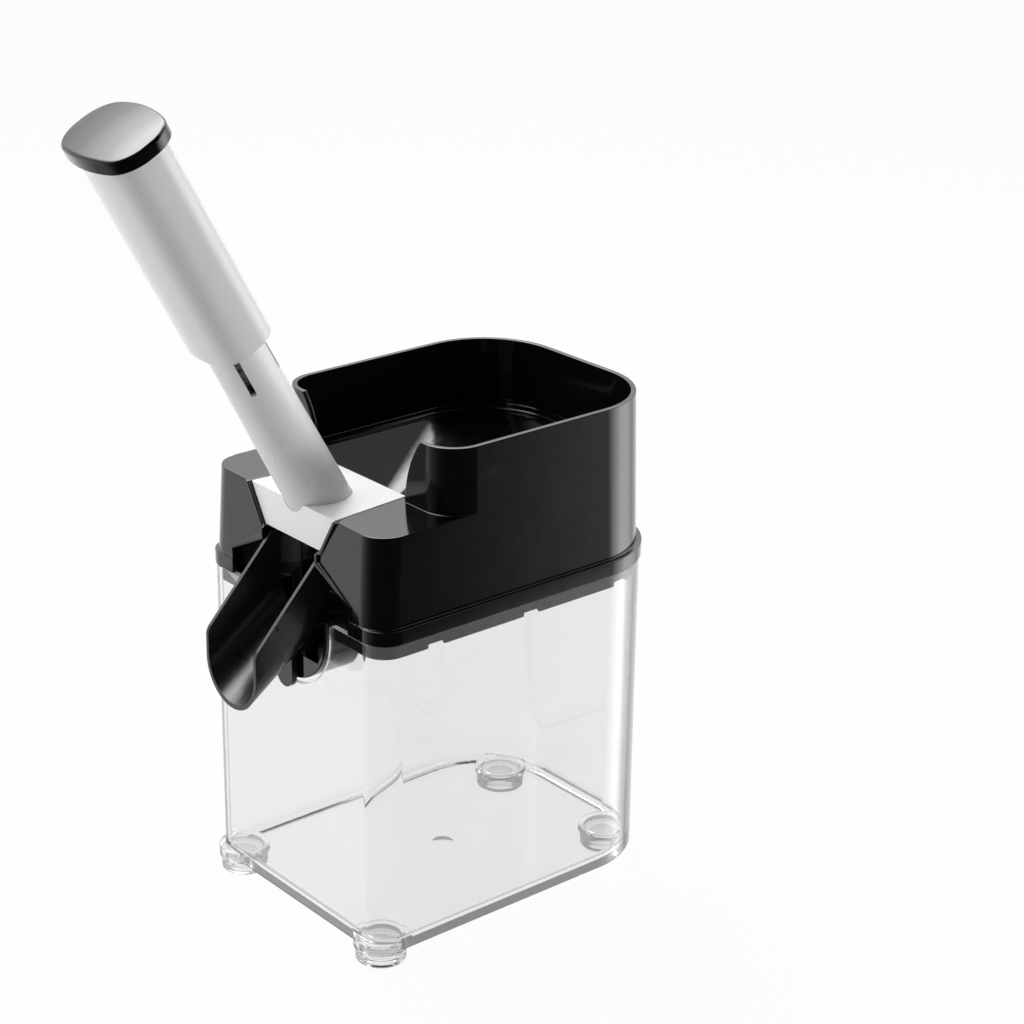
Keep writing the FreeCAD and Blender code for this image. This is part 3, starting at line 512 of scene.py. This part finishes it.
def make_spring(low, high, material):
    """Return spring with close end turns, on the axis between its two washers."""
    length = (high - low).length - spring_wire
    free_turns = spring_turns - 2
    extra = (length - spring_close_pitch * spring_turns) / free_turns

    def ease(turn):
        """Turns gained at the free pitch, which opens over the half turn around the first."""
        if turn < 0.75:
            return 0.0
        return (turn - 0.75) ** 2 if turn < 1.25 else turn - 1.0

    def point(turn):
        angle = 2 * math.pi * turn
        rise = spring_close_pitch * turn + extra * (ease(turn) - ease(turn - free_turns))
        return Vector((spring_mean_radius * math.cos(angle), spring_mean_radius * math.sin(angle),
                       spring_wire / 2 + rise))

    bm = bmesh.new()
    ring = bmesh.ops.create_circle(bm, cap_ends=True, segments=spring_sides, radius=spring_wire / 2)["verts"]
    step = 1.0 / spring_steps
    start = (point(step) - point(0)).normalized()
    turn_to = Vector((0, 0, 1)).rotation_difference(start).to_matrix().to_4x4()
    bmesh.ops.transform(bm, matrix=Matrix.Translation(point(0)) @ turn_to, verts=ring)
    face = bm.faces[:][0]
    previous = start
    for i in range(spring_turns * spring_steps):
        here, there = point(i * step), point((i + 1) * step)
        along = (point((i + 2) * step) - here).normalized()
        region = bmesh.ops.extrude_face_region(bm, geom=[face])["geom"]
        if i > 0:
            bmesh.ops.delete(bm, geom=[face], context="FACES_ONLY")
        face = next(item for item in region if isinstance(item, bmesh.types.BMFace))
        swing = previous.rotation_difference(along).to_matrix().to_4x4()
        move = Matrix.Translation(there) @ swing @ Matrix.Translation(-here)
        bmesh.ops.transform(bm, matrix=move, verts=face.verts[:])
        previous = along
    bmesh.ops.transform(bm, matrix=axis_frame(low), verts=bm.verts)
    spring = finish_mesh("coil_return_spring", bm, material, 60.0)
    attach(spring, "head")
    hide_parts("return_spring")
    kept = 1.0 - press_stroke / (high - low).length
    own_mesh(spring)


# Studio

def add_camera():
    """Camera at the photograph's angle and distance."""
    back = Vector((math.sin(camera_azimuth) * math.cos(camera_elevation),
                   -math.cos(camera_azimuth) * math.cos(camera_elevation),
                   math.sin(camera_elevation)))
    data = bpy.data.cameras.new("camera")
    data.lens = camera_lens
    data.sensor_width = 36.0
    data.shift_x = camera_shift_x
    camera = bpy.data.objects.new("camera", data)
    scene.collection.objects.link(camera)
    camera.location = camera_aim + back * camera_distance
    camera.rotation_euler = back.to_track_quat("Z", "Y").to_euler()
    scene.camera = camera


def add_world():
    """White to the camera and through clear plastic, a soft studio in reflections and as light."""
    world = bpy.data.worlds.new("studio")
    world.use_nodes = True
    scene.world = world
    graph = Graph(world.node_tree)
    path = graph.node("ShaderNodeLightPath")
    along_x = graph.node("ShaderNodeSeparateXYZ", None, graph.node("ShaderNodeTexCoord").output("Generated"))
    height = along_x.output("Z")
    turn = along_x.math("ARCTAN2", along_x, along_x.output("Y"))
    round_walls = turn * (0.5 / math.pi) + 0.5
    walls = graph.ramp(round_walls, *[(at, level / wall_peak) for at, level in wall_levels]) * wall_peak
    roof = graph.ramp(height, *[(at, level / roof_peak) for at, level in roof_levels]) * roof_peak
    over_left = graph.ramp(along_x * 0.5 + 0.5, *roof_reach)
    reach = graph.ramp(height * 0.5 + 0.5, *wall_reach)
    glossy = path.output("Is Glossy Ray")
    soft_walls = walls.math("MINIMUM", walls, ambient_peak) * ambient_share + ambient_floor
    open_air = glossy * (walls * reach + roof * over_left) + (1.0 - glossy) * soft_walls
    trapped = path.output("Ray Depth") > trapped_bounces
    level = trapped * trapped_level + (1.0 - trapped) * open_air
    seen = path.output("Is Camera Ray") + path.output("Is Transmission Ray")
    white = seen > 0.5
    sky = graph.node("ShaderNodeBackground", None, Color=opaque(1.0), Strength=white + (1.0 - white) * level)
    graph.node("ShaderNodeOutputWorld", None, Surface=sky)


def add_floor():
    """Pale floor: white to the eye, but it keeps the object's shadow."""
    bm = bmesh.new()
    bmesh.ops.create_grid(bm, x_segments=4, y_segments=4, size=floor_half_size)
    material, graph = new_material("studio_floor")
    path = graph.node("ShaderNodeLightPath")
    cloud = graph.noise(graph.place(), 2.0, 2.0)
    card = graph.node("ShaderNodeBsdfDiffuse", None, Color=graph.tint(cloud, 0.80, 0.82))
    glow = graph.node("ShaderNodeEmission", None, Color=opaque(1.0), Strength=1.0)
    seen = path.output("Is Camera Ray") + path.output("Is Glossy Ray") + path.output("Is Transmission Ray")
    graph.surface(graph.node("ShaderNodeMixShader", None, (seen > 0.5) * floor_glow, card, glow))
    floor = finish_mesh("studio_floor", bm, material)
    floor.visible_glossy = False


def add_lamp(name, toward, distance, size, radiance):
    """Square softbox aimed at the object. In gloss, the studio's roof and walls stand for it."""
    data = bpy.data.lights.new(name, "AREA")
    data.shape = "SQUARE"
    data.size = size
    data.energy = radiance * math.pi * size * size
    lamp = bpy.data.objects.new(name, data)
    scene.collection.objects.link(lamp)
    direction = Vector(toward).normalized()
    lamp.location = camera_aim + direction * distance
    lamp.rotation_euler = direction.to_track_quat("Z", "Y").to_euler()
    lamp.visible_glossy = False


add_camera()
add_world()
add_floor()
add_lamp("key_softbox", (-0.62, 0.02, 0.78), 1.0, 0.5, 6.2)
add_lamp("rim_softbox", (0.62, 0.78, 0.10), 1.1, 0.30, 20.0)
add_lamp("front_softbox", (-0.40, -0.87, 0.30), 1.2, 0.5, 5.8)

housing_black = gloss_black("black_plastic_housing", 0.10)
# The chute's black is set lighter than the housing's. This is painted light standing in for its lit trough.
chute_black = gloss_black("black_plastic_chute", 0.28, 0.011)
cap_black = gloss_black("black_plastic_cap", 0.08)
inner_black = gloss_black("black_plastic_inner", 0.30)
head_white = satin_plastic("white_plastic_head", (0.90, 0.90, 0.90), 0.34, 0.02 * MM)
sleeve_pale = satin_plastic("pale_plastic_sleeve", (0.76, 0.76, 0.77), 0.24, 0.003 * MM)
tube_pale = satin_plastic("pale_plastic_tube", (0.80, 0.80, 0.81), 0.26, 0.002 * MM)
core_pale = satin_plastic("pale_plastic_core", (0.80, 0.75, 0.66), 0.4, 0.01 * MM)
along_axis = (math.radians(90.0), 0.0, 0.0)
steel = bright_metal("steel_polished", (0.62, 0.61, 0.59), 0.22, along_axis)
spring_metal = bright_metal("steel_spring", (0.50, 0.49, 0.47), 0.30, (0.0, 0.0, 0.0))
container_clear = clear_plastic("clear_plastic_container", 0.0, 0.06 * MM, 12.0, (0.93, 0.93, 0.93))
foot_clear = clear_plastic("clear_foot_soft", 0.04, 0.02 * MM, 20.0, (0.93, 0.935, 0.94))
silicone = seat_rubber()

finishes = {
    "container": ("clear_plastic", container_clear, 0.30),
    "housing": ("black_plastic", housing_black, 0.40),
    "seat_ring": ("black_plastic", inner_black, 0.15),
    "stone_guide": ("black_plastic", inner_black, 0.20),
    "chute": ("black_plastic", chute_black, 0.30),
    "pitting_head": ("white_plastic", head_white, 0.30),
    "guide_tube": ("pale_plastic", tube_pale, 0.20),
    "stop_ring": ("pale_plastic", tube_pale, 0.15),
    "stripper_bush": ("pale_plastic", tube_pale, 0.15),
    "lower_washer": ("steel", steel, 0.12),
    "upper_washer": ("steel", steel, 0.12),
    "handle_sleeve": ("pale_plastic", sleeve_pale, 0.25),
    "handle_cap": ("black_plastic", cap_black, 0.30),
    "plunger_core": ("pale_plastic", core_pale, 0.20),
    "pitting_pin": ("steel", steel, 0.12),
    "pin_dowel": ("steel", steel, 0.12),
    "handle_screw": ("steel", steel, 0.12),
}
for node, (slot, material, radius) in finishes.items():
    round_edges(node, material, radius * MM)

for node in ("foot_front_left", "foot_front_right", "foot_rear_left", "foot_rear_right"):
    make_foot(node, foot_clear)

spring_low = middle("lower_washer") + axis_up * washer_half
spring_high = middle("upper_washer") - axis_up * washer_half
axis_foot = middle("lower_washer") - axis_up * (tube_floor_top + washer_half)
make_cherry_seat(axis_foot, silicone)
make_spring(spring_low, spring_high, spring_metal)

scene.view_settings.view_transform = "Standard"
